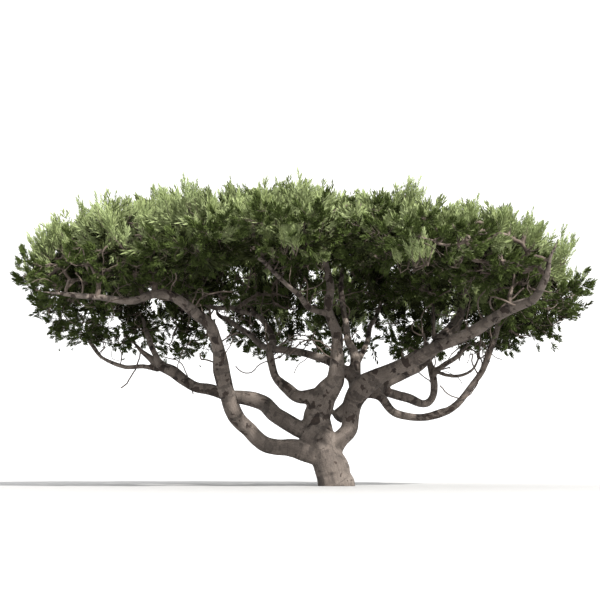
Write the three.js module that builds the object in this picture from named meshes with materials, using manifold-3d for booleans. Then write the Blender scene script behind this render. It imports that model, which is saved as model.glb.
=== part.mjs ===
// A low, wide umbrella pine: a short leaning trunk, crooked boughs that arch out under a hollow
// crown, and the crown itself as a shell of separate foliage masses.
// Millimetres, +Z up. The origin is the centre of the flat cut under the trunk, at ground level.
// +X runs along the crown's widest way and -Y is the side where the crown slopes down furthest.

import * as THREE from "three";
import { mergeVertices } from "three/addons/utils/BufferGeometryUtils.js";
import Module from "manifold-3d";

// ---- driving dimensions -------------------------------------------------------------------------

const CROWN_CENTRE_X = -530; // the trunk leans, so the crown isn't centred over the foot
const CROWN_CENTRE_Y = 200;
const CROWN_HALF_WIDTH = 5460; // along X
const CROWN_HALF_DEPTH = 4450; // along Y
const RIM_UNDERSIDE = 2860; // lowest foliage, all round the back and the sides
const HOLLOW_RISE = 1450; // how much higher the crown's underside is over the trunk
const HOLLOW_FULL = 0.25; // the underside is that high out to this share of the crown's half size
const HOLLOW_END = 0.85; // and has come down to the rim's level at this share
const FRONT_LIFT = 980; // how much higher the underside is along the front rim
const TOP_LEVEL = 5410; // the crown's mean top over the trunk
const RIM_DROP = 1250; // how far the top rounds down to the rim
const RIM_SHARPNESS = 6; // the higher, the flatter the top and the sharper its fall to the rim
const FRONT_SLOPE = 0.21; // fall of the crown's top towards the front
const RIGHT_SLOPE = 0.05; // and towards +X

const CREST = { x: -1500, y: -300, rise: 380, width: 1000 }; // the highest part of the crown

const GAP = 0.5; // clearance between solids that meet
const MASS_GAP = 12; // clearance between two masses of foliage
const LIMB_STEP = 300; // length of one straight stretch of a limb
const THICK_LIMB = 110; // a limb with a bigger mean radius than this has more sides
const SIDES_THICK = 8;
const SIDES_THIN = 6;
const GROUND_BLOCK = 4000; // side of the block that cuts the trunk off level with the ground
const MASS_DETAIL = 2; // subdivisions of the icosahedron that a mass is shaped from

const BARK = { color: 0x94887f, roughness: 0.9, metalness: 0 };
const NEEDLES = { color: 0x5a6440, roughness: 0.75, metalness: 0 };

// ---- the limbs ----------------------------------------------------------------------------------
// Each waypoint is [x, y, z, radius]. A limb grows out of the limbs listed before it.
// A limb that bends round a wide gap is two nodes, parted at the waypoint number in splitAt.

const LIMBS = [
  {
    name: "trunk",
    path: [[30, 0, -240, 362], [0, 0, 0, 345], [-40, 0, 270, 312], [-150, 0, 530, 322], [-230, 0, 700, 296]],
  },
  {
    name: "stem_centre",
    path: [[-250, 0, 450, 235], [-345, 0, 1000, 265], [-340, 0, 1450, 275], [-185, -20, 1800, 270],
      [30, -90, 2200, 165], [105, -140, 2560, 122], [-60, -200, 2980, 104], [-150, -280, 3500, 80],
      [-230, -300, 4700, 46]],
  },
  {
    name: "stem_right",
    splitAt: 4,
    path: [[-110, 30, 380, 220], [140, 80, 860, 178], [235, 120, 1280, 158], [240, 110, 1600, 188],
      [390, 100, 1800, 218], [1060, -200, 2090, 162], [1700, -660, 2390, 126], [2360, -1200, 2690, 110],
      [2950, -1800, 2990, 94], [3220, -2110, 3080, 76], [3400, -2560, 3430, 46]],
  },
  {
    name: "bough_left_low",
    splitAt: 5,
    path: [[-60, -20, 420, 220], [-450, -70, 640, 205], [-1100, -250, 760, 146], [-1600, -480, 930, 145],
      [-1930, -880, 1480, 133], [-2110, -1310, 2330, 106], [-2400, -1660, 2890, 97],
      [-2870, -2050, 3240, 90], [-3620, -2300, 3120, 64], [-4400, -2500, 3140, 36]],
  },
  {
    name: "bough_left_mid",
    path: [[-300, -40, 780, 200], [-760, 50, 1110, 161], [-1600, 370, 1690, 150], [-2090, 500, 1800, 123],
      [-2800, 680, 1920, 101], [-3490, 950, 2340, 88]],
  },
  {
    name: "bough_left_rise",
    path: [[-3450, 930, 2290, 76], [-3700, 1080, 2700, 64], [-3850, 1300, 3120, 58], [-4140, 1800, 3930, 42]],
  },
  {
    name: "bough_left_tip",
    path: [[-3430, 920, 2300, 66], [-3790, 1110, 2340, 53], [-4560, 1600, 2490, 49],
      [-5120, 2100, 2870, 43], [-5370, 2400, 3330, 34]],
  },
  {
    name: "bough_left_inner",
    splitAt: 2,
    path: [[-420, 20, 1560, 160], [-850, 200, 1790, 116], [-1140, 360, 1920, 98], [-1220, 520, 2170, 83],
      [-1230, 720, 2600, 76], [-1240, 970, 3050, 74], [-1700, 1500, 3560, 62], [-2920, 2600, 3860, 44]],
  },
  {
    name: "bough_right_back",
    path: [[230, 200, 1480, 165], [420, 380, 1710, 168], [1210, 700, 2110, 150], [2040, 1200, 2760, 122],
      [2850, 1800, 3450, 98], [3710, 2500, 4110, 66]],
  },
  {
    name: "bough_right_arc",
    splitAt: 3,
    path: [[640, 380, 1860, 128], [890, 400, 1590, 98], [1380, 550, 1340, 76], [2000, 600, 1340, 73],
      [2480, 580, 1640, 71], [2820, 500, 2110, 63], [3090, 320, 2650, 58], [3230, 200, 3150, 50]],
  },
  {
    name: "bough_right_hook",
    splitAt: 2,
    path: [[620, 420, 1860, 150], [1100, 700, 1730, 99], [2010, 1050, 1630, 90], [2080, 1100, 1890, 81],
      [2000, 1200, 2400, 60]],
  },
  {
    name: "bough_right_hook_tip",
    path: [[2040, 1150, 2230, 60], [2700, 1700, 2770, 48], [3000, 2100, 3080, 43], [3150, 2400, 3500, 34]],
  },
  {
    name: "bough_right_loop",
    path: [[2020, 1120, 2330, 46], [2110, 1070, 2265, 38], [2400, 1000, 2135, 34], [2640, 1000, 2145, 32],
      [2870, 1000, 2330, 29], [2965, 1050, 2560, 26], [3005, 1100, 2810, 24], [3040, 1250, 3350, 20]],
  },
  {
    name: "bough_back_rise",
    path: [[370, 330, 1800, 170], [430, 580, 2220, 142], [460, 660, 2560, 100], [430, 700, 2790, 88],
      [220, 730, 3050, 64], [150, 800, 3630, 57], [160, 920, 4120, 50], [230, 1000, 4700, 38]],
  },
  {
    name: "bough_back_left",
    path: [[400, 580, 2090, 140], [-20, 800, 2350, 98], [-890, 1250, 2760, 79], [-1480, 1600, 2840, 69],
      [-1970, 2150, 3370, 62], [-2730, 3000, 3860, 38]],
  },
  {
    name: "bough_back_right",
    path: [[460, 650, 2420, 84], [660, 1000, 2860, 62], [1020, 2100, 3740, 51], [1250, 2700, 4150, 38]],
  },
  {
    name: "bough_front_left",
    path: [[-140, -240, 3190, 66], [-460, -500, 3300, 55], [-1080, -1400, 3720, 44], [-1700, -2400, 4050, 30]],
  },
  {
    name: "bough_right_rise",
    path: [[2060, 1220, 2800, 60], [2140, 1400, 3340, 46], [2230, 1800, 4300, 32]],
  },
];

// ---- the crown ----------------------------------------------------------------------------------
// Three rings of masses. at is the share of the crown's half size where a ring's masses are centred.

const RINGS = [
  { name: "rim", count: 15, at: 0.81, turn: 0.2, radial: 1060, height: 1.04 },
  { name: "shoulder", count: 9, at: 0.5, turn: 0.55, radial: 1080, height: 1.0 },
  { name: "top", count: 4, at: 0.17, turn: 0.3, radial: 1000, height: 1.0 },
];

const IRREGULAR = { turn: 0.3, at: 0.07, radial: 0.1 }; // how far the masses stray from even rings
const UNEVEN_SHARE = 0.08; // how far each wave of a mass's surface rises and falls, as a share of its reach
const WAVES = 4; // in a mass's surface

// A number from 0 to 1 that depends only on its two whole numbers.
function chance(seed, n) {
  const s = Math.sin(seed * 127.1 + n * 311.7) * 43758.5453;
  return s - Math.floor(s);
}

function smoothStep(x, low, high) {
  const t = THREE.MathUtils.clamp((x - low) / (high - low), 0, 1);
  return t * t * (3 - 2 * t);
}

function crownTop(x, y) {
  const u = (x - CROWN_CENTRE_X) / CROWN_HALF_WIDTH;
  const v = (y - CROWN_CENTRE_Y) / CROWN_HALF_DEPTH;
  const crest = CREST.rise * Math.exp(-(((x - CREST.x) ** 2 + (y - CREST.y) ** 2) / CREST.width ** 2));
  const slopes = FRONT_SLOPE * Math.max(0, -y) + RIGHT_SLOPE * x;
  return TOP_LEVEL + crest - slopes - RIM_DROP * Math.hypot(u, v) ** RIM_SHARPNESS;
}

function crownUnderside(x, y) {
  const u = (x - CROWN_CENTRE_X) / CROWN_HALF_WIDTH;
  const v = (y - CROWN_CENTRE_Y) / CROWN_HALF_DEPTH;
  const inside = 1 - smoothStep(Math.hypot(u, v), HOLLOW_FULL, HOLLOW_END);
  return RIM_UNDERSIDE + HOLLOW_RISE * inside + FRONT_LIFT * Math.max(0, -v);
}

// Where each mass stands and how far it reaches along X, Y and Z.
function planMasses() {
  const masses = [];
  for (const [ringNumber, ring] of RINGS.entries()) {
    for (let i = 0; i < ring.count; i++) {
      const seed = ringNumber * 50 + i + 1;
      const angle = ((i + ring.turn + IRREGULAR.turn * (chance(seed, 1) - 0.5)) / ring.count) * 2 * Math.PI;
      const at = ring.at * (1 + IRREGULAR.at * (chance(seed, 2) - 0.5));
      const x = CROWN_CENTRE_X + CROWN_HALF_WIDTH * at * Math.cos(angle);
      const y = CROWN_CENTRE_Y + CROWN_HALF_DEPTH * at * Math.sin(angle);
      const top = crownTop(x, y);
      const underside = crownUnderside(x, y);
      const radial = ring.radial * (1 + IRREGULAR.radial * (chance(seed, 3) - 0.5));
      masses.push({
        name: `needles_${ring.name}_${String(i + 1).padStart(2, "0")}`,
        seed,
        centre: new THREE.Vector3(x, y, (top + underside) / 2),
        reach: new THREE.Vector3(radial, radial, (ring.height * (top - underside)) / 2),
      });
    }
  }
  return masses;
}

// ---- shapes -------------------------------------------------------------------------------------

const wasm = await Module();
wasm.setup();

function toSolid(geometry) {
  const bare = geometry.clone();
  bare.deleteAttribute("normal");
  bare.deleteAttribute("uv");
  const merged = mergeVertices(bare, 1e-3);
  return new wasm.Manifold(
    new wasm.Mesh({
      numProp: 3,
      vertProperties: merged.attributes.position.array,
      triVerts: new Uint32Array(merged.index.array),
    }),
  );
}

function toGeometry(solid) {
  const mesh = solid.getMesh();
  const geometry = new THREE.BufferGeometry();
  geometry.setAttribute("position", new THREE.BufferAttribute(mesh.vertProperties, 3));
  geometry.setIndex(new THREE.BufferAttribute(mesh.triVerts, 1));
  geometry.computeVertexNormals();
  return geometry;
}

// The rings that a limb's skin is stretched over: each a centre, two directions across and a radius.
function limbRings({ path }) {
  const points = path.map(([x, y, z]) => new THREE.Vector3(x, y, z));
  const curve = new THREE.CatmullRomCurve3(points, false, "centripetal");
  const steps = Math.max(4, Math.round(curve.getLength() / LIMB_STEP));
  const frames = curve.computeFrenetFrames(steps, false);
  return frames.tangents.map((tangent, i) => {
    const waypoint = curve.getUtoTmapping(i / steps) * (path.length - 1);
    const before = Math.min(path.length - 2, Math.floor(waypoint));
    return {
      waypoint,
      centre: curve.getPointAt(i / steps),
      tangent,
      across: frames.normals[i],
      up: frames.binormals[i],
      radius: THREE.MathUtils.lerp(path[before][3], path[before + 1][3], waypoint - before),
    };
  });
}

// A closed tube over the rings, grow millimetres larger all round and at both ends.
function tubeGeometry(rings, grow) {
  const meanRadius = rings.reduce((sum, ring) => sum + ring.radius, 0) / rings.length;
  const sides = meanRadius > THICK_LIMB ? SIDES_THICK : SIDES_THIN;
  const last = rings.length - 1;
  const positions = [];
  const indices = [];
  for (const [i, ring] of rings.entries()) {
    const shift = i === 0 ? -grow : i === last ? grow : 0;
    const centre = ring.centre.clone().addScaledVector(ring.tangent, shift);
    for (let s = 0; s < sides; s++) {
      const turn = (s / sides) * 2 * Math.PI;
      const point = centre.clone()
        .addScaledVector(ring.across, (ring.radius + grow) * Math.cos(turn))
        .addScaledVector(ring.up, (ring.radius + grow) * Math.sin(turn));
      positions.push(point.x, point.y, point.z);
    }
  }
  for (let i = 0; i < last; i++) {
    for (let s = 0; s < sides; s++) {
      const a = i * sides + s;
      const b = i * sides + ((s + 1) % sides);
      indices.push(a, b, a + sides, b, b + sides, a + sides);
    }
  }
  for (let s = 1; s < sides - 1; s++) {
    indices.push(0, s + 1, s);
    indices.push(last * sides, last * sides + s, last * sides + s + 1);
  }
  const geometry = new THREE.BufferGeometry();
  geometry.setAttribute("position", new THREE.Float32BufferAttribute(positions, 3));
  geometry.setIndex(indices);
  return geometry;
}

// How far an ellipsoid with these half sizes reaches in a direction.
function ellipsoidReach(reach, direction) {
  return 1 / Math.hypot(direction.x / reach.x, direction.y / reach.y, direction.z / reach.z);
}

// A wavy share around 1 that makes each mass uneven in its own way.
function unevenness(direction, seed) {
  let sum = 0;
  for (let wave = 0; wave < WAVES; wave++) {
    const axis = new THREE.Vector3(
      chance(seed, 10 + wave) - 0.5, chance(seed, 20 + wave) - 0.5, chance(seed, 30 + wave) - 0.5,
    ).normalize();
    const phase = 2 * Math.PI * chance(seed, 40 + wave);
    sum += Math.sin((3 + 1.7 * wave) * direction.dot(axis) + phase) / (1 + 0.5 * wave);
  }
  return 1 + UNEVEN_SHARE * sum;
}

// A mass reaches out from its centre in every direction, and stops at the planes that part it
// from its neighbours. grow moves its surface outwards.
function massGeometry(mass, masses, grow) {
  const walls = masses
    .filter((other) => other !== mass)
    .map((other) => {
      const normal = other.centre.clone().sub(mass.centre);
      const distance = normal.length();
      normal.normalize();
      const mine = ellipsoidReach(mass.reach, normal);
      const theirs = ellipsoidReach(other.reach, normal);
      return { normal, offset: (distance * mine) / (mine + theirs) - MASS_GAP / 2 };
    });
  const geometry = new THREE.IcosahedronGeometry(1, MASS_DETAIL);
  geometry.deleteAttribute("normal");
  geometry.deleteAttribute("uv");
  const ball = mergeVertices(geometry, 1e-4);
  const position = ball.attributes.position;
  const direction = new THREE.Vector3();
  for (let i = 0; i < position.count; i++) {
    direction.fromBufferAttribute(position, i).normalize();
    let reach = ellipsoidReach(mass.reach, direction) * unevenness(direction, mass.seed);
    for (const { normal, offset } of walls) {
      const facing = direction.dot(normal);
      if (facing > 0) reach = Math.min(reach, offset / facing);
    }
    direction.multiplyScalar(reach + grow).add(mass.centre);
    position.setXYZ(i, direction.x, direction.y, direction.z);
  }
  return ball;
}

// ---- the tree -----------------------------------------------------------------------------------

// The piece of a cut solid that comes nearest to a point on the limb's axis.
function pieceNear(solid, point) {
  let best = null;
  let nearest = Infinity;
  for (const piece of solid.decompose()) {
    const corners = piece.getMesh().vertProperties;
    for (let i = 0; i < corners.length; i += 3) {
      const distance = Math.hypot(corners[i] - point.x, corners[i + 1] - point.y, corners[i + 2] - point.z);
      if (distance < nearest) {
        nearest = distance;
        best = piece;
      }
    }
  }
  return best;
}

// One entry for each limb node, with a limb that bends round a gap parted in two.
function limbNodes() {
  return LIMBS.flatMap((limb) => {
    const rings = limbRings(limb);
    if (!limb.splitAt) return [{ name: limb.name, rings }];
    const cut = rings.findIndex((ring) => ring.waypoint >= limb.splitAt);
    return [
      { name: `${limb.name}_1`, rings: rings.slice(0, cut + 1) },
      { name: `${limb.name}_2`, rings: rings.slice(cut) },
    ];
  });
}

const tree = new THREE.Group();

function addMesh(name, geometry, finish) {
  const mesh = new THREE.Mesh(geometry, new THREE.MeshStandardMaterial(finish));
  mesh.name = name;
  tree.add(mesh);
}

const masses = planMasses();
const massCutters = masses.map((mass) => toSolid(massGeometry(mass, masses, GAP)));
for (const mass of masses) addMesh(mass.name, massGeometry(mass, masses, 0), NEEDLES);

const ground = new THREE.BoxGeometry(GROUND_BLOCK, GROUND_BLOCK, GROUND_BLOCK);
const underground = toSolid(ground.translate(0, 0, -GROUND_BLOCK / 2));
const cutters = [underground, ...massCutters];
for (const { name, rings } of limbNodes()) {
  const whole = toSolid(tubeGeometry(rings, 0));
  const cut = cutters.reduce((solid, cutter) => solid.subtract(cutter), whole);
  addMesh(name, toGeometry(pieceNear(cut, rings[2].centre)), BARK);
  cutters.push(toSolid(tubeGeometry(rings, GAP)));
}

export default tree;
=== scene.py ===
"""A low, wide umbrella pine over the frame: barked limbs, seeded boughs and twigs, and sprays of needles.

Metres and the frame's axes: +Z up, origin at the centre of the flat cut under the trunk.
"""

import heapq
import math

import bpy
import numpy as np
from mathutils import Matrix, Vector, noise
from mathutils.bvhtree import BVHTree
from mathutils.kdtree import KDTree


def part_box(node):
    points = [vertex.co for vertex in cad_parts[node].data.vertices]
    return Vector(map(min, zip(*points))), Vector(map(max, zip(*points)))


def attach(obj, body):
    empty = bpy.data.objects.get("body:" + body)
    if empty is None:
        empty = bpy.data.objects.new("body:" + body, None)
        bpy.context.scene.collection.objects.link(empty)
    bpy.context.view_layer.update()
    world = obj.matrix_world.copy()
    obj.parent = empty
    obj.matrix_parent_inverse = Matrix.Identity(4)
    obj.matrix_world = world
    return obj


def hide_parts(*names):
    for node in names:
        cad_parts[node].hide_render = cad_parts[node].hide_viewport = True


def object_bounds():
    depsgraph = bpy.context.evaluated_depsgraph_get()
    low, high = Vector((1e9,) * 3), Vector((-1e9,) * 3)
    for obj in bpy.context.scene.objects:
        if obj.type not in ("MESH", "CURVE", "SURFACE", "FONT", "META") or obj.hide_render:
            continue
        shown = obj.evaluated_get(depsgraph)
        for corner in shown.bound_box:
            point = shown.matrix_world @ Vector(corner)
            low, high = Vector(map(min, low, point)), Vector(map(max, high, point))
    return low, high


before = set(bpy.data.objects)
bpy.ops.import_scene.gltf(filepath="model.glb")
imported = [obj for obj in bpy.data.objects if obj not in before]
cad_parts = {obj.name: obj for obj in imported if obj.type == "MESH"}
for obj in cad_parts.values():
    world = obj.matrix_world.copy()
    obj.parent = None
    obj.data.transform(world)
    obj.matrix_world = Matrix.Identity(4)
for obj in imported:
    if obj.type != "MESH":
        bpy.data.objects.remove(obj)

bl_info = {
    "name": "Umbrella Pine",
    "version": (1, 0, 0),
    "blender": (4, 5, 0),
    "location": "3D Viewport > Sidebar > Pine",
    "description": "Grows an umbrella pine's bark, twigs and needles over its frame",
    "category": "Object",
}

FRAME_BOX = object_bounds()
CROWN_MIDDLE = (np.array(FRAME_BOX[0]) + np.array(FRAME_BOX[1])) / 2
CROWN_SIZE = np.array(FRAME_BOX[1]) - np.array(FRAME_BOX[0])
UP = np.array([0.0, 0.0, 1.0])

# ---- sizes, in metres -------------------------------------------------------------------------

SLICE_STEP = 0.12  # spacing of the slices that find a limb's axis
CUT_END = 1.7  # length left out where a limb is cut to fit its parent, as a share of its radius
CUT_TIP = 1.6  # and where it ends in a mass
LEADER = 13.0  # length of a limb's leader in the crown, as a share of the radius at its tip
KNOT_STEP = 0.42  # spacing of a limb's knots, where it turns a little
KNOT_SHIFT = 0.55  # how far it is thrown aside there, as a share of its radius
LIMB_SIDES = 22
RING_STEP = 0.05  # spacing of the rings of a limb's skin
FLAT_SIDED = 0.99  # a round limb's radius against the mean radius of its flat-sided solid
ROOT_FLARE = 0.035  # how far the trunk's foot spreads
ROOT_FLARE_HEIGHT = 0.12
SMALLEST = 1e-9  # a shorter vector has no direction

FLARE_LOBES = {"number": 5, "depth": 0.35}
BULGE = {"depth": 0.1, "scale": 1.1, "along": 2.2}  # a limb's unevenness round and along its axis
RELIEF_BUMPS = ((0.9, 2.6), (0.5, 6.5), (0.28, 15.0))  # depth and scale of the bark's three sizes of bump
RING = {"depth": 0.5, "from": 0.15, "across": 0.6, "along": 7}  # the grooves round a limb
FULL_RELIEF = 0.28  # radius of a limb with the full relief
SKIN_OFFSET = 3.7  # moves the bark's pattern along from limb to limb

SURFACE_TRIES = 26000  # random points tried on the crown's surface
CLEAR = 0.03  # just off the surface
OPEN_AIR = 0.25  # foliage faces open air if nothing else is this near in front of it
NEIGHBOUR = 1.1  # masses closer than this grow into one another
VALLEY_DEPTH = 0.42  # how far down the valleys between two masses sprays still grow
OUTER_SPACING = 0.38
UNDER_SPACING = 0.28
OUTER_INSET = 0.43  # how far inside the crown's surface a spray starts
UNDER_INSET = 0.04
FILLING = 62  # sprays inside each mass
STEEP_UNDERSIDE = -0.55  # a surface that faces down more than this is the crown's underside
HIGH_INSET = 0.35  # and how much further inside where the surface faces up
INSET_PLAY = 0.12  # the random part of an inset
TUFTS = {"share": 0.2, "rise": 0.32}  # the sprays that stand out from the rest, and by how much
FILL_SEEN = (0.2, 0.74)  # from where to where a mass is filled on its seen sides, from its middle to its skin
FILL_HIDDEN = (0.2, 0.97)
FILL_BETWEEN = (0.6, 1.2)  # and where it faces a neighbour

ROOT_STEP = 0.25  # spacing of the places on a limb where branches may start
ROOT_LOWEST = 1.9
ROOT_INNER = (0.3, 3.3)  # and none on this first share of a limb below this height
WAY_ALONG = 0.9  # how much cheaper a start is at a limb's tip than at its foot
MOST_POINTS = 60000
NEVER = 1e9
SHORTEST = 0.04  # a spray this near a branch sits on it
WANDER = 0.05  # how crooked a branch is, as a share of its length
LIMB_SHARE = 0.8  # a branch's greatest radius, as a share of its limb's
BARE_TWIGS = 130
BARE_HEIGHTS = (2.0, 3.9)
RIM_HEIGHT = 3.75  # the curling twigs hang from sprays below this
CURLING_SHARE = 0.6
# twigs without needles: length of a step, how much it turns, shakes and rises, and how far out the twig may
# go as a share of the crown's half width and depth
TWIG_RULES = {
    "bare": {"step": 0.085, "curl": 0.28, "shake": 0.22, "rise": 0.1, "reach": 0.7},
    "hanging": {"step": 0.075, "curl": 0.42, "shake": 0.15, "rise": 0.0, "reach": 0.9},
}
TWIG_STEP = 0.14
TWIG_TIP = 0.0085
PIPE_POWER = 0.5  # a branch's radius grows as the number of sprays it feeds to this power

# the kinds of shoot: length, needles, and their size against the settings'
SHOOTS = {
    "long": {"length": 0.25, "needles": 30, "longer": 1.0, "wider": 0.9},
    "short": {"length": 0.17, "needles": 16, "longer": 1.3, "wider": 1.7},
    "shade": {"length": 0.24, "needles": 14, "longer": 1.5, "wider": 1.8},
    "inner": {"length": 0.26, "needles": 12, "longer": 1.7, "wider": 2.4},
}
VARIANTS = 6  # unlike shoots of each kind
OPEN_ANGLES = {"foot": 40, "closing": 26, "play": 6}  # of needles from their shoot's axis, in degrees
THIN = 0.011  # radius of the thinnest bough that is round
BOUGH_SIDES = 7
TWIG_SIDES = 3
TURN = 6.28  # about a full turn
PATCH = 1.6  # the colours are dealt out in patches, this many to a metre
MAX_TRIANGLES = 192000  # in one piece
LONGEST_SHOOT = 0.42  # with the needles at its tip
HIGHEST = FRAME_BOX[1].z + 0.15  # no needle reaches higher


CAMERA_PLACE = (-0.68, -17.0, 0.25)
CAMERA_RAISED = 10.94  # degrees that the camera looks up
SENSOR_WIDTH = 36.0  # millimetres
FLOOR_CORNERS = ((-90, -60), (90, -60), (90, 400), (-90, 400))
SUN = {"strength": 8.4, "width": 1.5, "colour": (1.0, 0.975, 0.94)}  # width in degrees
SURROUNDINGS = 1.5  # strength of the light from all round


# ---- settings ---------------------------------------------------------------------------------


class BarkSettings(bpy.types.PropertyGroup):
    """The skin of the trunk and boughs."""

    grain: bpy.props.FloatProperty(
        name="Grain", description="Width of the faces that the bark is made of", default=0.0245, min=0.01,
        subtype="DISTANCE", unit="LENGTH",
    )
    relief: bpy.props.FloatProperty(
        name="Relief", description="Height of the bark's bumps on the thickest limbs", default=0.011, min=0,
        subtype="DISTANCE", unit="LENGTH",
    )


class CrownSettings(bpy.types.PropertyGroup):
    """The branching rule and the sprays of needles."""

    seed: bpy.props.IntProperty(name="Seed", description="Starts the random order", default=7, min=0)
    balance: bpy.props.FloatProperty(
        name="Balance", default=0.35, min=0, max=1, subtype="FACTOR",
        description="0 takes the shortest way to each spray, 1 the straightest from the trunk",
    )
    needle_length: bpy.props.FloatProperty(
        name="Needle length", description="Length of the longest needles", default=0.084, min=0.01,
        subtype="DISTANCE", unit="LENGTH",
    )
    needle_width: bpy.props.FloatProperty(
        name="Needle width", description="Width of a needle, larger than life", default=0.014, min=0.001,
        subtype="DISTANCE", unit="LENGTH",
    )


class StageSettings(bpy.types.PropertyGroup):
    """Camera and light."""

    lens: bpy.props.FloatProperty(
        name="Lens", description="Focal length on a 36 mm sensor", default=53.5, unit="CAMERA",
    )
    sun_height: bpy.props.FloatProperty(
        name="Sun height", description="Key light above the horizon", default=math.radians(36),
        subtype="ANGLE", unit="ROTATION",
    )
    sun_side: bpy.props.FloatProperty(
        name="Sun side", description="Key light to the right of the camera", default=math.radians(38),
        subtype="ANGLE", unit="ROTATION",
    )


# ---- reading the frame ------------------------------------------------------------------------


def nodes_named(start):
    return sorted(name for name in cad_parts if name.startswith(start))


MASS_NODES = nodes_named("needles_")
LIMB_NODES = sorted(set(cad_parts) - set(MASS_NODES))


def solid_of(node):
    """A solid's corners, edges and triangles, with corners that lie together made one."""
    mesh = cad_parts[node].data
    mesh.calc_loop_triangles()
    corners = np.array([v.co for v in mesh.vertices])
    _, first, same = np.unique(np.round(corners, 4), axis=0, return_index=True, return_inverse=True)
    same = same.ravel()
    triangles = same[np.array([t.vertices for t in mesh.loop_triangles])]
    pairs = np.concatenate([triangles[:, [0, 1]], triangles[:, [1, 2]], triangles[:, [2, 0]]])
    edges = np.unique(np.sort(pairs, axis=1), axis=0)
    return corners[first], edges[edges[:, 0] != edges[:, 1]], triangles


def distances_along(start, corners, edges):
    """How far each corner is from one corner, going along the edges."""
    neighbours = [[] for _ in corners]
    for a, b in edges:
        length = float(np.linalg.norm(corners[a] - corners[b]))
        neighbours[a].append((int(b), length))
        neighbours[b].append((int(a), length))
    far = np.full(len(corners), np.inf)
    far[start] = 0.0
    heap = [(0.0, int(start))]
    while heap:
        distance, corner = heapq.heappop(heap)
        if distance > far[corner]:
            continue
        for other, length in neighbours[corner]:
            if distance + length < far[other]:
                far[other] = distance + length
                heapq.heappush(heap, (far[other], other))
    return far


def slice_centres(corners, edges, measure, levels):
    """Centre and mean radius of the solid's slices where the measure has each level, as x, y, z, radius."""
    low, high = measure[edges[:, 0]], measure[edges[:, 1]]
    rows = []
    for level in levels:
        cut = (low < level) != (high < level)
        share = ((level - low[cut]) / (high[cut] - low[cut]))[:, None]
        points = corners[edges[cut, 0]] * (1 - share) + corners[edges[cut, 1]] * share
        centre = points.mean(0)
        rows.append([*centre, FLAT_SIDED * np.linalg.norm(points - centre, axis=1).mean()])
    return np.array(rows)


def lengthened(line, at_foot, at_tip):
    """The line carried straight on past both its ends."""
    foot = line[0].copy()
    foot[:3] += at_foot * unit(line[0, :3] - line[2, :3])
    tip = line[-1].copy()
    tip[:3] += at_tip * unit(line[-1, :3] - line[-3, :3])
    return np.vstack([foot, line, tip])


def unit(vector):
    return vector / max(float(np.linalg.norm(vector)), SMALLEST)


def limb_axes():
    """Each limb's axis from foot to tip, as rows of x, y, z, radius. A limb in two nodes is one axis."""
    low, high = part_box("trunk")
    corners, edges, _ = solid_of("trunk")
    levels = np.arange(0.02, 0.6 * high.z, 0.08)
    trunk = slice_centres(corners, edges, corners[:, 2], levels)
    fork = np.array([*((low + high) / 2)[:2], high.z])
    axes = {"trunk": np.vstack([trunk[0] - [0, 0, 0.1, 0], lengthened(trunk, 0, 0.12)[1:]])}
    for node in LIMB_NODES:
        if node == "trunk":
            continue
        corners, edges, _ = solid_of(node)
        foot = np.linalg.norm(corners - fork, axis=1).argmin()
        tip = distances_along(foot, corners, edges).argmax()
        from_tip = distances_along(tip, corners, edges)
        radius = slice_centres(corners, edges, from_tip, [0.7 * from_tip.max()])[0, 3]
        cut_end = CUT_END * radius
        tip_radius = slice_centres(corners, edges, from_tip, [0.3 * from_tip.max()])[0, 3]
        levels = np.arange(CUT_TIP * tip_radius, from_tip.max() - cut_end, SLICE_STEP)[::-1]
        line = slice_centres(corners, edges, from_tip, levels)
        axes[node] = lengthened(line, cut_end + radius, 0.05)
    for node in [name for name in axes if name.endswith("_1")]:
        name = node[:-2]
        axes[name] = np.vstack([axes.pop(node)[:-1], axes.pop(f"{name}_2")[1:]])
    for seed, name in enumerate(sorted(axes)):
        if name != "trunk":
            axes[name] = carried_on(axes[name], np.random.default_rng(seed))
    return axes


def carried_on(line, random):
    """The limb's axis eased, and its leader grown on from the tip, up and ever thinner, into the crown."""
    line[1:-1] = (line[:-2] + 4 * line[1:-1] + line[2:]) / 6
    lengths = lengths_along(line)
    knots = np.arange(0, lengths[-1] + KNOT_STEP, KNOT_STEP)
    for k in range(3):
        shift = KNOT_SHIFT * np.minimum(line[:, 3], 0.09)
        line[:, k] += shift * np.interp(lengths, knots, random.normal(size=len(knots)))
    line[:, 3] *= 1 + 0.07 * np.interp(lengths, knots, random.normal(size=len(knots)))
    point, radius = line[-1, :3].copy(), line[-1, 3]
    way = unit(line[-1, :3] - line[-4, :3])
    length = min(LEADER * radius, max(0.3, (FRAME_BOX[1].z - point[2]) / 1.2))
    steps = max(4, round(length / SLICE_STEP))
    leader = []
    for i in range(1, steps + 1):
        way = unit(way + 0.07 * UP + 0.13 * random.normal(size=3))
        point = point + way * length / steps
        leader.append([*point, radius * (1 - 0.9 * i / steps)])
    return np.vstack([line, leader])


# ---- meshes -----------------------------------------------------------------------------------


def new_mesh(name, corners, faces, edges=()):
    mesh = bpy.data.meshes.new(name)
    mesh.from_pydata(np.asarray(corners).tolist(), list(edges), list(faces))
    return mesh


def new_object(name, mesh):
    piece = bpy.data.objects.new(name, mesh)
    bpy.context.scene.collection.objects.link(piece)
    return piece


def evaluated(source, name):
    """A plain mesh piece in place of an object and its modifiers."""
    graph = bpy.context.evaluated_depsgraph_get()
    mesh = bpy.data.meshes.new_from_object(source.evaluated_get(graph))
    mesh.name = name
    bpy.data.objects.remove(source)
    return new_object(name, mesh)


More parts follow.
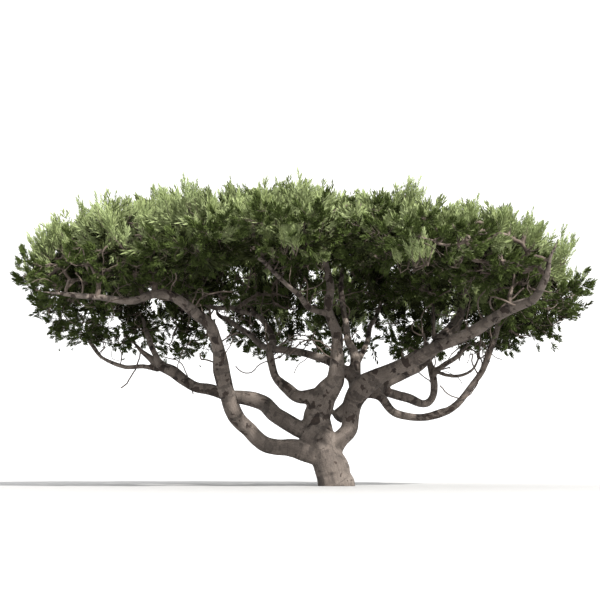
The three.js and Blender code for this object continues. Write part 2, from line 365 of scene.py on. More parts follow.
def set_values(mesh, name, values, kind="FLOAT"):
    """Stores one value at each of a mesh's corners."""
    field = "vector" if kind == "FLOAT_VECTOR" else "value"
    attribute = mesh.attributes.new(name, kind, "POINT")
    number = np.int32 if kind == "INT" else np.float32
    attribute.data.foreach_set(field, np.asarray(values, number).ravel())


def vectors_of(owner, name):
    """One vector from each of a mesh's corners or normals."""
    flat = np.empty(len(owner) * 3, np.float32)
    owner.foreach_get(name, flat)
    return flat.reshape(-1, 3)


def lengths_along(line):
    return np.concatenate([[0], np.cumsum(np.linalg.norm(np.diff(line[:, :3], axis=0), axis=1))])


def resampled(line, step):
    """The line with points every step, running smoothly through its own."""
    lengths = lengths_along(line)
    wanted = np.linspace(0, lengths[-1], max(3, int(lengths[-1] / step) + 1))
    thin = np.column_stack([np.interp(wanted, lengths, line[:, k]) for k in range(4)])
    for _ in range(2):
        thin[1:-1] = (thin[:-2] + 2 * thin[1:-1] + thin[2:]) / 4
    return thin, wanted


def frames_along(line):
    """Two directions across the line at each of its points, turning as little as they can."""
    tangents = np.gradient(line[:, :3], axis=0)
    tangents /= np.linalg.norm(tangents, axis=1)[:, None]
    across = unit(np.cross(tangents[0], [0.3, 0.9, 0.2]))
    result = []
    for tangent in tangents:
        across = unit(across - tangent * across.dot(tangent))
        result.append((across, np.cross(tangent, across)))
    return result


def ragged(seed, where, scale):
    """Smooth noise from -1 to 1."""
    return noise.noise(Vector(where) * scale + Vector((seed * 17.3, seed * 5.1, seed * 9.7)))


# ---- materials --------------------------------------------------------------------------------


def linear(colour):
    """A colour written as sRGB hex, as the linear one that a socket takes."""
    parts = [int(colour[i : i + 2], 16) / 255 for i in (1, 3, 5)]
    return [*(c / 12.92 if c <= 0.04045 else ((c + 0.055) / 1.055) ** 2.4 for c in parts), 1.0]


def add(tree, kind, settings=(), **inputs):
    """Adds a node. inputs are values or other nodes' outputs, by socket name or by number as _0, _1."""
    node = tree.nodes.new(kind)
    for key, value in dict(settings).items():
        setattr(node, key, value)
    for key, value in inputs.items():
        socket = node.inputs[int(key[1:])] if key[0] == "_" else node.inputs[key.replace("_", " ")]
        if isinstance(value, bpy.types.NodeSocket):
            tree.links.new(value, socket)
        else:
            socket.default_value = value
    return node


def ramp(tree, factor, stops):
    """A colour ramp: stops are pairs of place and sRGB hex."""
    node = add(tree, "ShaderNodeValToRGB", Fac=factor)
    elements = node.color_ramp.elements
    while len(elements) < len(stops):
        elements.new(0.5)
    for element, (place, colour) in zip(elements, stops):
        element.position = place
        element.color = linear(colour)
    return node.outputs["Color"]


def mixed(tree, blend, factor, first, second):
    kind = {"data_type": "RGBA", "blend_type": blend}
    return add(tree, "ShaderNodeMix", kind, _0=factor, _6=first, _7=second).outputs[2]


def mottle(tree, colour, strength, pattern, stops):
    """The colour multiplied by a ramp over a pattern, as strongly as the strength says."""
    return mixed(tree, "MULTIPLY", strength, colour, ramp(tree, pattern, stops))


def cloud(tree, where, scale, detail=2.0, roughness=0.5, distortion=0.0):
    """Noise at a place, from 0 to 1."""
    node = add(
        tree, "ShaderNodeTexNoise", Vector=where, Scale=scale, Detail=detail, Roughness=roughness,
        Distortion=distortion,
    )
    return node.outputs["Fac"]


def between(tree, value, low, high, at_low, at_high):
    """A value brought from one range to another, and held there."""
    return add(tree, "ShaderNodeMapRange", _0=value, _1=low, _2=high, _3=at_low, _4=at_high).outputs[0]


def arithmetic(tree, operation, first, second):
    return add(tree, "ShaderNodeMath", {"operation": operation}, _0=first, _1=second).outputs[0]


def object_place(tree):
    return add(tree, "ShaderNodeTexCoord").outputs["Object"]


def stored_value(tree, name, output="Fac"):
    return add(tree, "ShaderNodeAttribute", {"attribute_name": name}).outputs[output]


def new_material(name):
    material = bpy.data.materials.new(name)
    material.use_nodes = True
    material.node_tree.nodes.clear()
    return material, material.node_tree


def finish_material(tree, colour, roughness, normal=None, ior=1.45, specular=0.5):
    shader = add(tree, "ShaderNodeBsdfPrincipled", Base_Color=colour, Roughness=roughness, IOR=ior)
    shader.inputs["Specular IOR Level"].default_value = specular
    if normal is not None:
        tree.links.new(normal, shader.inputs["Normal"])
    add(tree, "ShaderNodeOutputMaterial", Surface=shader.outputs[0])


def old_pine_bark():
    """Old, weathered pine bark: smooth grey-tan plates, painted leaf shadows in dark patches, painted light
    that makes it paler higher up, and rings of cracks.
    """
    material, tree = new_material("old_pine_bark")
    skin = stored_value(tree, "skin", "Vector")
    place = object_place(tree)
    plates = cloud(tree, place, 2.6, 3.0, 0.6)
    colour = ramp(tree, plates, [(0.34, "#58504a"), (0.5, "#665d56"), (0.66, "#736a63")])
    # painted light: paler on the limbs in the crown's shade than on the sunlit foot
    height = add(tree, "ShaderNodeSeparateXYZ", Vector=place).outputs["Z"]
    colour = mixed(tree, "MULTIPLY", 1.0, colour, between(tree, height, 0.7, 2.2, 0.88, 1.14))
    # painted leaf shadows: dark brown patches with crisp edges, few on the sunlit foot and more of them
    # higher up under the crown
    more = between(tree, height, 0.75, 1.3, -0.06, 0.045)
    painted_leaf_shadow = arithmetic(tree, "ADD", cloud(tree, place, 4.6, 3.5, 0.55, 0.4), more)
    colour = mixed(tree, "MIX", between(tree, painted_leaf_shadow, 0.595, 0.62, 0.0, 1.0), colour, linear("#372d27"))
    # long streaks, that run with the limb
    stretch = add(tree, "ShaderNodeMapping", Vector=skin, Scale=(1.0, 1.0, 0.14)).outputs[0]
    streaks = cloud(tree, stretch, 38.0, 3.0, 0.65)
    colour = mottle(tree, colour, 0.3, streaks, [(0.3, "#6e6660"), (0.55, "#ffffff")])
    # rings of cracks, across the limb
    squash = add(tree, "ShaderNodeMapping", Vector=skin, Scale=(0.35, 0.35, 1.0)).outputs[0]
    rings = cloud(tree, squash, 9.0, 2.5, 0.55)
    colour = mottle(tree, colour, 0.45, rings, [(0.40, "#3c332d"), (0.455, "#ffffff")])
    # lichen and dust in fine specks
    specks = cloud(tree, place, 55.0)
    colour = mottle(tree, colour, 0.35, specks, [(0.35, "#8c847d"), (0.65, "#ffffff")])
    relief = arithmetic(tree, "ADD", streaks, arithmetic(tree, "MULTIPLY", rings, 1.4))
    relief = arithmetic(tree, "ADD", relief, arithmetic(tree, "MULTIPLY", specks, 0.5))
    bump = add(tree, "ShaderNodeBump", Strength=0.7, Distance=0.02, Height=relief).outputs[0]
    finish_material(tree, colour, 0.88, bump)
    return material


def young_pine_bark():
    """The thin, scaly, red-brown bark of twigs, dull and a little uneven."""
    material, tree = new_material("young_pine_bark")
    place = object_place(tree)
    patches = cloud(tree, place, 7.0, 3.0)
    colour = ramp(tree, patches, [(0.3, "#453a33"), (0.5, "#5f534a"), (0.7, "#7a6e64")])
    scales = cloud(tree, place, 90.0)
    colour = mottle(tree, colour, 0.5, scales, [(0.3, "#777777"), (0.6, "#ffffff")])
    bump = add(tree, "ShaderNodeBump", Strength=0.5, Distance=0.006, Height=scales).outputs[0]
    finish_material(tree, colour, 0.85, bump)
    return material


def pine_needles(name, base, tip):
    """Pine needles in one of the dealt colours, the darker ones painted shade: waxy green, paler to the tip,
    no two shoots quite alike.
    """
    material, tree = new_material(name)
    drift = cloud(tree, object_place(tree), 2.2, 3.0, 0.6)
    colour = ramp(tree, stored_value(tree, "reach"), [(0.1, base), (1.0, tip)])
    colour = mottle(tree, colour, 0.75, drift, [(0.3, "#c4c8b0"), (0.6, "#ffffff")])
    colour = mottle(tree, colour, 1.0, stored_value(tree, "tone"), [(0.0, "#c4c8b4"), (1.0, "#ffffff")])
    finish_material(tree, colour, 0.7, ior=1.42, specular=0.15)
    return material


# ---- trunk and boughs -------------------------------------------------------------------------


def limb_skin(name, line, seed):
    """Corners and faces of one limb's closed skin, slightly uneven round its axis."""
    fine, along = resampled(line, RING_STEP)
    across = frames_along(fine)
    corners, faces = [], []
    turns = np.linspace(0, 2 * math.pi, LIMB_SIDES, endpoint=False)
    for (x, y, z, radius), (side, up), s in zip(fine, across, along):
        flare = ROOT_FLARE * math.exp(-max(z, 0) / ROOT_FLARE_HEIGHT) if name == "trunk" else 0
        for turn in turns:
            lobe = 1 + FLARE_LOBES["depth"] * math.cos(FLARE_LOBES["number"] * turn + seed)
            where = (math.cos(turn), math.sin(turn), BULGE["along"] * s)
            bulge = 1 + BULGE["depth"] * ragged(seed, where, BULGE["scale"])
            reach = radius * bulge + flare * lobe
            corners.append(np.array([x, y, z]) + reach * (side * math.cos(turn) + up * math.sin(turn)))
    rings = len(fine)
    for i in range(rings - 1):
        for k in range(LIMB_SIDES):
            a, b = i * LIMB_SIDES + k, i * LIMB_SIDES + (k + 1) % LIMB_SIDES
            faces.append((a, b, b + LIMB_SIDES, a + LIMB_SIDES))
    faces.append(tuple(reversed(range(LIMB_SIDES))))
    faces.append(tuple(range((rings - 1) * LIMB_SIDES, rings * LIMB_SIDES)))
    return corners, faces


def joined_skins(axes):
    corners, faces = [], []
    for seed, (name, line) in enumerate(sorted(axes.items())):
        more, skin = limb_skin(name, line, seed)
        faces += [tuple(c + len(corners) for c in face) for face in skin]
        corners += more
    return new_mesh("skins", corners, faces)


def bark_relief(piece, axes, relief):
    """Moves the bark's corners in and out, and tells each how it lies round and along its limb."""
    mesh = piece.data
    corners = vectors_of(mesh.vertices, "co").astype(float)
    normals = vectors_of(mesh.vertex_normals, "vector")
    rows = []
    for name, line in sorted(axes.items()):
        fine, along = resampled(line, RING_STEP)
        across = frames_along(fine)
        offset = SKIN_OFFSET * len(name)
        rows += [(point, s + offset, pair) for point, s, pair in zip(fine, along, across)]
    tree = KDTree(len(rows))
    for i, row in enumerate(rows):
        tree.insert(row[0][:3], i)
    tree.balance()
    skin = np.empty((len(corners), 3))
    lift = np.empty(len(corners))
    for i, corner in enumerate(corners):
        _, nearest, _ = tree.find(corner)
        point, along, (side, up) = rows[nearest]
        away = corner - point[:3]
        skin[i] = (away.dot(side), away.dot(up), along)
        size = min(1.0, point[3] / FULL_RELIEF)
        swell = sum(depth * ragged(k + 1, corner, scale) for k, (depth, scale) in enumerate(RELIEF_BUMPS))
        ring = ragged(4, skin[i] * [RING["across"], RING["across"], RING["along"]], 1.0)
        lift[i] = relief * size * (swell - RING["depth"] * max(0.0, ring - RING["from"]))
    corners = corners + normals * lift[:, None]
    corners[:, 2] = np.maximum(corners[:, 2], 0)
    mesh.vertices.foreach_set("co", corners.astype(np.float32).ravel())
    set_values(mesh, "skin", skin, "FLOAT_VECTOR")
    mesh.shade_smooth()
    mesh.update()


class TREE_OT_bark(bpy.types.Operator):
    """Skins the trunk and boughs as one barked mesh with smooth forks"""

    bl_idname = "pine.bark"
    bl_label = "Trunk and boughs"

    def execute(self, context):
        settings = context.scene.pine_bark
        axes = limb_axes()
        source = new_object("skins", joined_skins(axes))
        remesh = source.modifiers.new("Join", "REMESH")
        remesh.mode = "VOXEL"
        remesh.voxel_size = settings.grain
        smooth = source.modifiers.new("Ease forks", "SMOOTH")
        smooth.factor = 0.5
        smooth.iterations = 4
        piece = evaluated(source, "bark")
        bark_relief(piece, axes, settings.relief)
        piece.data.materials.clear()
        piece.data.materials.append(old_pine_bark())
        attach(piece, "root")
        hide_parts(*LIMB_NODES)
        return {"FINISHED"}


# ---- where the sprays go ----------------------------------------------------------------------


def crown_surface():
    """Corners, triangles, normals and areas of all the foliage solids, and what rays meet them with."""
    corners, triangles = [], []
    for node in MASS_NODES:
        more, _, faces = solid_of(node)
        triangles.append(faces + sum(len(c) for c in corners))
        corners.append(more)
    corners, triangles = np.vstack(corners), np.vstack(triangles)
    a, b, c = (corners[triangles[:, k]] for k in range(3))
    cross = np.cross(b - a, c - a)
    areas = np.linalg.norm(cross, axis=1)
    tree = BVHTree.FromPolygons(corners.tolist(), triangles.tolist())
    return corners, triangles, cross / areas[:, None], areas, tree


def spaced_points(random):
    """Random points over the crown's open surface, kept apart, with their normals and whether in a valley."""
    corners, triangles, normals, areas, tree = crown_surface()
    picks = random.choice(len(triangles), SURFACE_TRIES, p=areas / areas.sum())
    kept, kept_normals, valleys = [], [], []
    for pick in picks:
        u, v = sorted(random.random(2))
        a, b, c = corners[triangles[pick]]
        point = a * u + b * (v - u) + c * (1 - v)
        normal = normals[pick]
        spacing = OUTER_SPACING if normal[2] > STEEP_UNDERSIDE else UNDER_SPACING
        if kept and (np.linalg.norm(np.array(kept) - point, axis=1) < spacing).any():
            continue
        facing = point + CLEAR * normal
        valley = tree.ray_cast(facing, normal, OPEN_AIR)[0] is not None
        if valley:
            upright = UP if normal[2] > STEEP_UNDERSIDE else -UP
            depth = tree.ray_cast(facing, upright)[3]
            if depth is not None and depth > VALLEY_DEPTH:
                continue
        kept.append(point)
        kept_normals.append(normal)
        valleys.append(valley)
    return zip(kept, kept_normals, valleys)


def spray_places(random):
    """Where each spray starts, which way it points and of which kind it is."""
    places = []
    for point, normal, valley in spaced_points(random):
        outward = (point - CROWN_MIDDLE) * [1, 1, 0] / CROWN_SIZE
        if normal[2] < STEEP_UNDERSIDE:
            start = point - (UNDER_INSET + INSET_PLAY * random.random()) * normal
            heading = unit(0.8 * normal + 1.4 * outward + 0.3 * UP + 0.5 * random.normal(size=3))
            places.append((start, heading, "under"))
            continue
        inset = OUTER_INSET + HIGH_INSET * max(0, normal[2]) + INSET_PLAY * random.random()
        if random.random() < TUFTS["share"]:
            inset -= TUFTS["rise"]
        if valley:
            inset = INSET_PLAY * random.random()
        heading = unit(0.35 * normal + 1.0 * UP + 0.6 * outward + 0.2 * random.normal(size=3))
        places.append((point - inset * normal, heading, "outer"))
    return places + filling_places(random)


def filling_places(random):
    """Sprays through the inside of each mass, in painted shade: shady above and dark below."""
    tree = crown_surface()[-1]
    places = []
    for node in MASS_NODES:
        corners, _, triangles = solid_of(node)
        centre = corners.mean(0)
        outward = unit((centre - CROWN_MIDDLE) * [1, 1, 0])
        for pick in random.integers(0, len(triangles), FILLING):
            edge_point = corners[triangles[pick]].mean(0)
            way = unit(edge_point - centre)
            seen = way[2] > 0.1 or (way[2] > STEEP_UNDERSIDE and way.dot(outward) > -0.2)
            near, far = FILL_SEEN if seen else FILL_HIDDEN
            if tree.ray_cast(edge_point + CLEAR * way, way, NEIGHBOUR)[0] is not None:
                near, far = FILL_BETWEEN
            start = centre + (near + (far - near) * random.random()) * (edge_point - centre)
            kind = "shade" if seen else "inner"
            places.append((start, unit(random.normal(size=3) * [1, 1, 0.5]), kind))
    return places


# ---- the branching rule -----------------------------------------------------------------------


class Branches:
    """A growing tree of points. Each but the roots has a parent, and each has its way to the trunk."""

    def __init__(self, axes):
        self.points, self.parents, self.ways, self.limits = [], [], [], []
        for name, line in axes.items():
            if name == "trunk":
                continue
            fine, along = resampled(line, ROOT_STEP)
            for (x, y, z, radius), s in zip(fine, along):
                share = s / along[-1]
                if z < ROOT_LOWEST or (share < ROOT_INNER[0] and z < ROOT_INNER[1]):
                    continue
                self.points.append((x, y, z))
                self.parents.append(-1)
                self.ways.append(WAY_ALONG * (1 - share))
                self.limits.append(radius)
        self.roots = len(self.points)
        self.grid = np.array(self.points + [(0, 0, -NEVER)] * MOST_POINTS)
        self.costs = np.array(self.ways + [NEVER] * MOST_POINTS)
        self.ends = []

    def grow(self, end, rise, random, balance):
        """Grows a curved branch to a point from wherever that costs least, and returns its last point."""
        count = len(self.points)
        reach = np.linalg.norm(self.grid[:count] - end, axis=1)
        start = int((reach + balance * self.costs[:count]).argmin())
        origin = self.grid[start]
        length = float(reach[start])
        if length < SHORTEST:
            return start
        parent = self.parents[start]
        heading = unit(origin - self.grid[parent]) if parent >= 0 else unit(end - origin + 0.4 * UP)
        leave = origin + 0.42 * length * unit(0.6 * heading + 0.7 * unit(end - origin))
        arrive = end - 0.36 * length * unit(rise + 0.6 * unit(end - origin))
        steps = max(1, round(length / TWIG_STEP))
        last = start
        for i in range(1, steps + 1):
            t = i / steps
            back = 1 - t
            point = back**3 * origin + 3 * back**2 * t * leave + 3 * back * t**2 * arrive + t**3 * end
            point = point + WANDER * math.sin(math.pi * t) * min(1.0, length) * random.normal(size=3)
            last = self.add(point, last)
        return last

    def add(self, point, parent):
        index = len(self.points)
        self.points.append(tuple(point))
        self.parents.append(parent)
        self.grid[index] = point
        self.costs[index] = self.costs[parent] + np.linalg.norm(point - self.grid[parent])
        return index

    def radii(self):
        """A branch is as thick as all that it feeds needs, but never thicker than its limb."""
        load = np.zeros(len(self.points))
        for tip in self.ends:
            load[tip] += 0.2
        for i in range(len(self.points) - 1, self.roots - 1, -1):
            if self.parents[i] >= 0:
                load[self.parents[i]] += load[i]
        radii = TWIG_TIP * np.maximum(load, 0.2) ** PIPE_POWER
        for i in range(self.roots):
            radii[i] = min(radii[i], LIMB_SHARE * self.limits[i])
        for i in range(self.roots, len(self.points)):
            radii[i] = min(radii[i], radii[self.parents[i]])
        return radii


def grow_branches(axes, places, settings):
    random = np.random.default_rng(settings.seed)
    branches = Branches(axes)
    roots = np.array(branches.points)
    nearness = [np.linalg.norm(roots - place[0], axis=1).min() for place in places]
    tips = []
    for k in np.argsort(nearness):
        start, heading, kind = places[k]
        last = branches.grow(start, heading, random, settings.balance)
        tips.append((last, heading, kind))
    return branches, tips


# ---- twiglets and shoots ----------------------------------------------------------------------

# how many twiglets a spray has, how many shoots each carries, and the shoots' size
SPRAY_KINDS = {
    "outer": {"twiglets": 5, "shoots": 3, "size": 1.0, "spread": 0.5},
    "shade": {"twiglets": 4, "shoots": 2, "size": 1.0, "spread": 0.9},
    "inner": {"twiglets": 4, "shoots": 2, "size": 1.0, "spread": 0.9},
    "under": {"twiglets": 6, "shoots": 3, "size": 0.8, "spread": 0.95},
}


def turned_off(heading, spread, random):
    """A direction near a heading, at random, off it by about the spread in radians."""
    side = unit(np.cross(heading, random.normal(size=3)))
    angle = spread * (0.35 + 0.65 * random.random())
    return unit(heading * math.cos(angle) + side * math.sin(angle))


def grow_sprays(branches, tips, random):
    """Adds each spray's twiglets to the branches. Returns its shoots: place, heading, size, kind, tone."""
    shoots = []
    for tip, heading, kind in tips:
        rule = SPRAY_KINDS[kind]
        spray_tone = random.random()
        for _ in range(rule["twiglets"]):
            start = tip
            if random.random() < 0.45 and branches.parents[tip] >= 0:
                start = branches.parents[tip]
            origin = branches.grid[start]
            way = turned_off(heading, rule["spread"], random)
            length = rule["size"] * (0.10 + 0.24 * random.random())
            lift = unit(way + 0.5 * UP)
            middle = origin + 0.5 * length * way
            end = middle + 0.5 * length * lift
            last = branches.add(end, branches.add(middle, start))
            tone = 0.65 * spray_tone + 0.35 * random.random()
            for k in range(rule["shoots"]):
                foot = branches.grid[last] if k == 0 else middle + (end - middle) * random.random()
                bend = 0.12 if k == 0 else 0.42
                size = rule["size"] * (0.78 + 0.5 * random.random())
                aim = turned_off(unit(lift + 0.25 * UP), bend, random)
                room = (HIGHEST - foot[2]) / (LONGEST_SHOOT * max(aim[2], 0.3))
                shoots.append((foot, aim, min(size, max(room, 0.2)), kind, tone))
            branches.ends.append(last)
    return shoots


def curled_twig(branches, last, way, curl, steps, kind, random):
    """Grows a bare, curling twig, which stops where it would stick out of the crown."""
    rule = TWIG_RULES[kind]
    point = branches.grid[last]
    for _ in range(steps):
        shake = rule["shake"] * random.normal(size=3)
        way = unit(way + rule["curl"] * np.cross(curl, way) + shake + rule["rise"] * UP)
        point = point + rule["step"] * way
        if (np.abs(point - CROWN_MIDDLE)[:2] > rule["reach"] * CROWN_SIZE[:2] / 2).any():
            break
        last = branches.add(point, last)
    return last, point, way


def bare_twigs(branches, random):
    """Crooked twigs without needles that rise from the boughs where they run in the open."""
    low, high = BARE_HEIGHTS
    open_roots = [i for i in range(branches.roots) if low < branches.grid[i][2] < high]
    for start in random.choice(open_roots, BARE_TWIGS):
        way = unit(random.normal(size=3) + 0.9 * UP)
        curl = unit(random.normal(size=3))
        steps = random.integers(7, 16)
        last, _, _ = curled_twig(branches, int(start), way, curl, steps, "bare", random)
        branches.ends += [last] * random.integers(4, 16)


def hanging_twigs(branches, tips, random):
    """Thin, curling bare twigs that hang from the crown's lower edge, some with a last shoot."""
    shoots = []
    rim = [t for t in tips if t[2] == "under" and branches.grid[t[0]][2] < RIM_HEIGHT]
    for tip, heading, _ in rim:
        if random.random() > CURLING_SHARE:
            continue
        way = unit(heading * [1, 1, 0] + 0.5 * random.normal(size=3) - 0.7 * UP)
        curl = unit(random.normal(size=3)) * random.choice([-1, 1])
        steps = random.integers(5, 10)
        last, point, way = curled_twig(branches, tip, way, curl, steps, "hanging", random)
        branches.ends += [last] * 4
        if random.random() < 0.6:
            size = 0.5 + 0.2 * random.random()
            shoots.append((point, unit(way + 0.3 * UP), size, "under", random.random()))
    return shoots


def shoot_mesh(name, variant, shape, settings):
    """One shoot: needles that spiral round its axis, spread wide at the foot and closing to the tip."""
    random = np.random.default_rng(100 + variant)
    length, needles = shape["length"], shape["needles"]
    corners, faces, reach = [], [], []
    golden = math.pi * (3 - math.sqrt(5))
    for i in range(needles):
        share = (i + 0.5) / needles
        turn = golden * i + 0.5 * random.random()
        play = OPEN_ANGLES["play"] * random.normal()
        open_angle = math.radians(OPEN_ANGLES["foot"] - OPEN_ANGLES["closing"] * share + play)
        side = np.array([math.cos(turn), math.sin(turn), 0.0])
        way = unit(side * math.sin(open_angle) + UP * math.cos(open_angle))
        size = 0.72 + 0.28 * math.sin(math.pi * min(1, share + 0.2))
        size *= shape["longer"] * settings.needle_length * (0.88 + 0.24 * random.random())
        foot = UP * length * (0.04 + 0.9 * share) + 0.003 * side
        flat = unit(np.cross(way, side + 0.6 * random.normal(size=3)))
        wide = 0.5 * shape["wider"] * settings.needle_width * flat
        middle = foot + 0.5 * size * way
        first = len(corners)
        corners += [foot, middle - wide, foot + size * way + 0.1 * size * UP * share, middle + wide]
        faces.append((first, first + 1, first + 2, first + 3))
        reach += [0.0, 0.5, 1.0, 0.5]
    mesh = new_mesh(name, corners, faces)
    set_values(mesh, "reach", reach)
    return mesh


def shoot_collection(name, shape, settings):
    """Unlike shoots to pick from."""
    collection = bpy.data.collections.new(name)
    for variant in range(VARIANTS):
        mesh = shoot_mesh(f"{name}_{variant}", variant, shape, settings)
        collection.objects.link(bpy.data.objects.new(mesh.name, mesh))
    return collection


def new_group(name, result, **inputs):
    """A geometry nodes group with the named inputs, each of a kind, and the outputs of its input node."""
    group = bpy.data.node_groups.new(name, "GeometryNodeTree")
    for label, kind in inputs.items():
        group.interface.new_socket(label, in_out="INPUT", socket_type=f"NodeSocket{kind}")
    group.interface.new_socket(result, in_out="OUTPUT", socket_type="NodeSocketGeometry")
    return group, add(group, "NodeGroupInput").outputs


def stored(group, name, kind="FLOAT"):
    return add(group, "GeometryNodeInputNamedAttribute", {"data_type": kind}, Name=name).outputs[0]


def placing_group(name):
    """Geometry nodes that stand one of a collection's shoots on each point, turned and sized as it says."""
    group, given = new_group(
        name, "Shoots in place", Points="Geometry", Shoots="Collection", Needles="Material",
    )
    turn, size = stored(group, "turn", "FLOAT_VECTOR"), stored(group, "size")
    pick = stored(group, "pick", "INT")
    choice = add(
        group, "GeometryNodeCollectionInfo", Collection=given["Shoots"], Separate_Children=True,
        Reset_Children=True,
    ).outputs[0]
    rotation = add(group, "FunctionNodeEulerToRotation", Euler=turn).outputs[0]
    stood = add(
        group, "GeometryNodeInstanceOnPoints", Points=given["Points"], Instance=choice, Pick_Instance=True,
        Instance_Index=pick, Rotation=rotation, Scale=size,
    ).outputs[0]
    real = add(group, "GeometryNodeRealizeInstances", Geometry=stood).outputs[0]
    coloured = add(group, "GeometryNodeSetMaterial", Geometry=real, Material=given["Needles"]).outputs[0]
    add(group, "NodeGroupOutput", _0=coloured)
    return group


def branch_group(name):
    """Geometry nodes that turn a net of edges into round branches, as thick as each point says."""
    group, given = new_group(name, "Branches", Net="Geometry", Sides="Int", Bark="Material")
    thick = stored(group, "thick")
    curve = add(group, "GeometryNodeMeshToCurve", Mesh=given["Net"]).outputs[0]
    ring = add(group, "GeometryNodeCurvePrimitiveCircle", Resolution=given["Sides"], Radius=1.0).outputs[0]
    sweep = add(group, "GeometryNodeCurveToMesh", Curve=curve, Profile_Curve=ring, Scale=thick).outputs[0]
    smooth = add(group, "GeometryNodeSetShadeSmooth", Geometry=sweep).outputs[0]
    real = add(group, "GeometryNodeRealizeInstances", Geometry=smooth).outputs[0]
    coloured = add(group, "GeometryNodeSetMaterial", Geometry=real, Material=given["Bark"]).outputs[0]
    add(group, "NodeGroupOutput", _0=coloured)
    return group


def give(modifier, **values):
    """Sets a geometry nodes modifier's inputs by their names."""
    sockets = {s.name: s.identifier for s in modifier.node_group.interface.items_tree if s.in_out == "INPUT"}
    for name, value in values.items():
        modifier[sockets[name]] = value


def branch_piece(name, branches, radii, chosen, sides, material, group):
    """A piece from the branches whose far points are chosen."""
    used = sorted({i for i in chosen} | {branches.parents[i] for i in chosen})
    number = {index: k for k, index in enumerate(used)}
    edges = [(number[branches.parents[i]], number[i]) for i in chosen]
    mesh = new_mesh(name, branches.grid[used], (), edges)
    set_values(mesh, "thick", radii[used])
    source = new_object(f"{name}_net", mesh)
    modifier = source.modifiers.new("Branches", "NODES")
    modifier.node_group = group
    give(modifier, Sides=sides, Bark=material)
    piece = evaluated(source, name)
    dress(piece)
    return piece


def dress(piece):
    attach(piece, "root")
    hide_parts(*MASS_NODES)


def shoots_piece(name, shoots, collection, material, group, random):
    """A piece with a shoot of needles at each place."""
    mesh = new_mesh(f"{name}_points", [shoot[0] for shoot in shoots], ())
    turns = []
    for shoot in shoots:
        about_axis = Matrix.Rotation(TURN * random.random(), 3, "Z")
        turns.append((Vector(shoot[1]).to_track_quat("Z", "Y").to_matrix() @ about_axis).to_euler())
    set_values(mesh, "turn", turns, "FLOAT_VECTOR")
    set_values(mesh, "size", [shoot[2] for shoot in shoots])
    set_values(mesh, "pick", random.integers(0, VARIANTS, len(shoots)), "INT")
    set_values(mesh, "tone", [shoot[4] for shoot in shoots])
    source = new_object(f"{name}_points", mesh)
    modifier = source.modifiers.new("Shoots", "NODES")
    modifier.node_group = group
    give(modifier, Shoots=collection, Needles=material)
    piece = evaluated(source, name)
    dress(piece)
    return piece


# the needles' colours, at the foot and at the tip, and their shoots; the dark ones inside the masses and on
# the underside are painted shade
NEEDLE_COLOURS = {
    "sunlit": ("#98a676", "#a9b587", "long"),
    "fresh": ("#a4b07c", "#b6c291", "long"),
    "mid": ("#909d6e", "#a1ad7f", "long"),
    "shade": ("#77825a", "#98a278", "shade"),
    "deep": ("#22270f", "#353b1c", "inner"),
    "under": ("#353f1e", "#5b6939", "short"),
}


def dealt_colour(kind, chance):
    """Which colour a spray gets: the outer ones mostly light, the inner and lower ones darker with painted
    shade.
    """
    if kind == "outer":
        return "fresh" if chance < 0.26 else "sunlit" if chance < 0.68 else "mid"
    return {"shade": "shade", "inner": "deep", "under": "under"}[kind]


class TREE_OT_crown(bpy.types.Operator):
    """Grows boughs, twigs and sprays of needles from the limbs into the crown"""

    bl_idname = "pine.crown"
    bl_label = "Boughs, twigs and needles"

    def execute(self, context):
        settings = context.scene.pine_crown
        random = np.random.default_rng(settings.seed + 1)
        axes = limb_axes()
        places = spray_places(random)
        branches, tips = grow_branches(axes, places, settings)
        shoots = grow_sprays(branches, tips, random)
        shoots += hanging_twigs(branches, tips, random)
        bare_twigs(branches, random)
        radii = branches.radii()
        grown = range(branches.roots, len(branches.points))
        thick = [i for i in grown if radii[i] > THIN]
        thin = [i for i in grown if radii[i] <= THIN]
        group = branch_group("Round branches")
        young = young_pine_bark()
        branch_piece("boughs", branches, radii, thick, BOUGH_SIDES, young, group)
        half = len(thin) // 2
        branch_piece("twigs_1", branches, radii, thin[:half], TWIG_SIDES, young, group)
        branch_piece("twigs_2", branches, radii, thin[half:], TWIG_SIDES, young, group)
        self.needles(settings, shoots, random)
        return {"FINISHED"}

    def needles(self, settings, shoots, random):
        group = placing_group("Shoots on points")
        collections = {
            name: shoot_collection(f"{name}_shoots", shape, settings) for name, shape in SHOOTS.items()
        }
        dealt = {colour: [] for colour in NEEDLE_COLOURS}
        chances = {}
        for shoot in shoots:
            cell = tuple(np.round(shoot[0] * PATCH).astype(int))
            chance = chances.setdefault((round(shoot[4], 1), cell), random.random())
            dealt[dealt_colour(shoot[3], chance)].append(shoot)
        for colour, batch in dealt.items():
            foot, tip, shape = NEEDLE_COLOURS[colour]
            material = pine_needles(f"pine_needles_{colour}", foot, tip)
            most = MAX_TRIANGLES // (2 * SHOOTS[shape]["needles"])
            parts = math.ceil(len(batch) / most)
            for part in range(parts):
                name = f"needles_{colour}_{part + 1}" if parts > 1 else f"needles_{colour}"
                shoots_piece(name, batch[part::parts], collections[shape], material, group, random)


# ---- the stage --------------------------------------------------------------------------------


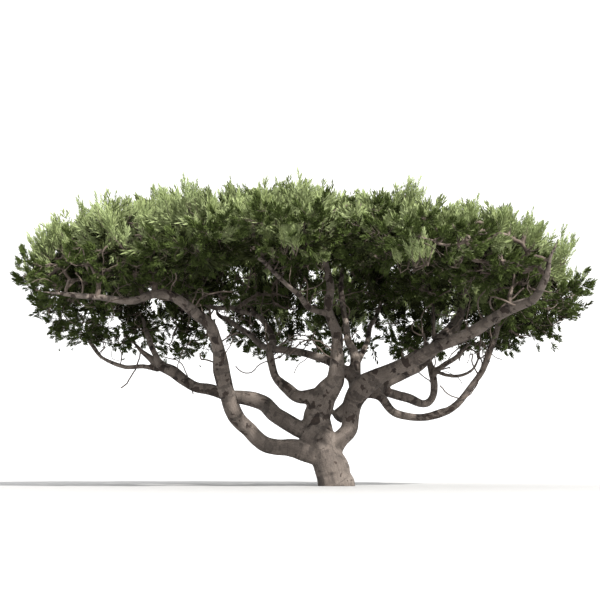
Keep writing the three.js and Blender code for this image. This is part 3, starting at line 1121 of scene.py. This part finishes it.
class TREE_OT_stage(bpy.types.Operator):
    """Sets the camera low in front of the tree, a pale floor, a key light and white surroundings"""

    bl_idname = "pine.stage"
    bl_label = "Camera and light"

    def execute(self, context):
        scene = context.scene
        settings = scene.pine_stage
        scene.view_settings.view_transform = "Standard"
        scene.view_settings.look = "None"
        data = bpy.data.cameras.new("camera")
        data.lens = settings.lens
        data.sensor_width = SENSOR_WIDTH
        camera = bpy.data.objects.new("camera", data)
        camera.location = CAMERA_PLACE
        camera.rotation_euler = (math.radians(90 + CAMERA_RAISED), 0, 0)
        scene.collection.objects.link(camera)
        scene.camera = camera
        corners = [(x, y, 0) for x, y in FLOOR_CORNERS]
        floor = new_object("floor", new_mesh("floor", corners, [(0, 1, 2, 3)]))
        material, tree = new_material("pale_floor")
        grain = cloud(tree, object_place(tree), 3.0)
        finish_material(tree, ramp(tree, grain, [(0.2, "#9e9e9e"), (0.8, "#a2a2a2")]), 0.95)
        floor.data.materials.append(material)
        sun = bpy.data.lights.new("key_light", "SUN")
        sun.energy = SUN["strength"]
        sun.angle = math.radians(SUN["width"])
        sun.color = SUN["colour"]
        lamp = bpy.data.objects.new("key_light", sun)
        toward = Vector((
            math.sin(settings.sun_side) * math.cos(settings.sun_height),
            -math.cos(settings.sun_side) * math.cos(settings.sun_height),
            math.sin(settings.sun_height),
        ))
        lamp.rotation_euler = toward.to_track_quat("Z", "Y").to_euler()
        scene.collection.objects.link(lamp)
        world = bpy.data.worlds.new("white_studio")
        world.use_nodes = True
        surroundings = world.node_tree.nodes["Background"].inputs
        surroundings["Color"].default_value = (1, 1, 1, 1)
        surroundings["Strength"].default_value = SURROUNDINGS
        scene.world = world
        return {"FINISHED"}


class TREE_PT_panel(bpy.types.Panel):
    """The pine's settings and steps"""

    bl_idname = "TREE_PT_panel"
    bl_label = "Umbrella pine"
    bl_space_type = "VIEW_3D"
    bl_region_type = "UI"
    bl_category = "Pine"

    def draw(self, context):
        for owner in SETTINGS:
            settings = getattr(context.scene, owner)
            for name in type(settings).__annotations__:
                self.layout.prop(settings, name)
            self.layout.operator(owner.replace("_", "."))


SETTINGS = {"pine_bark": BarkSettings, "pine_crown": CrownSettings, "pine_stage": StageSettings}
CLASSES = (*SETTINGS.values(), TREE_OT_bark, TREE_OT_crown, TREE_OT_stage, TREE_PT_panel)


def register():
    for cls in CLASSES:
        bpy.utils.register_class(cls)
    for name, cls in SETTINGS.items():
        setattr(bpy.types.Scene, name, bpy.props.PointerProperty(type=cls))


def unregister():
    for name in SETTINGS:
        delattr(bpy.types.Scene, name)
    for cls in reversed(CLASSES):
        bpy.utils.unregister_class(cls)


def main():
    register()
    bpy.ops.pine.bark()
    bpy.ops.pine.crown()
    bpy.ops.pine.stage()


if __name__ == "__main__":
    main()
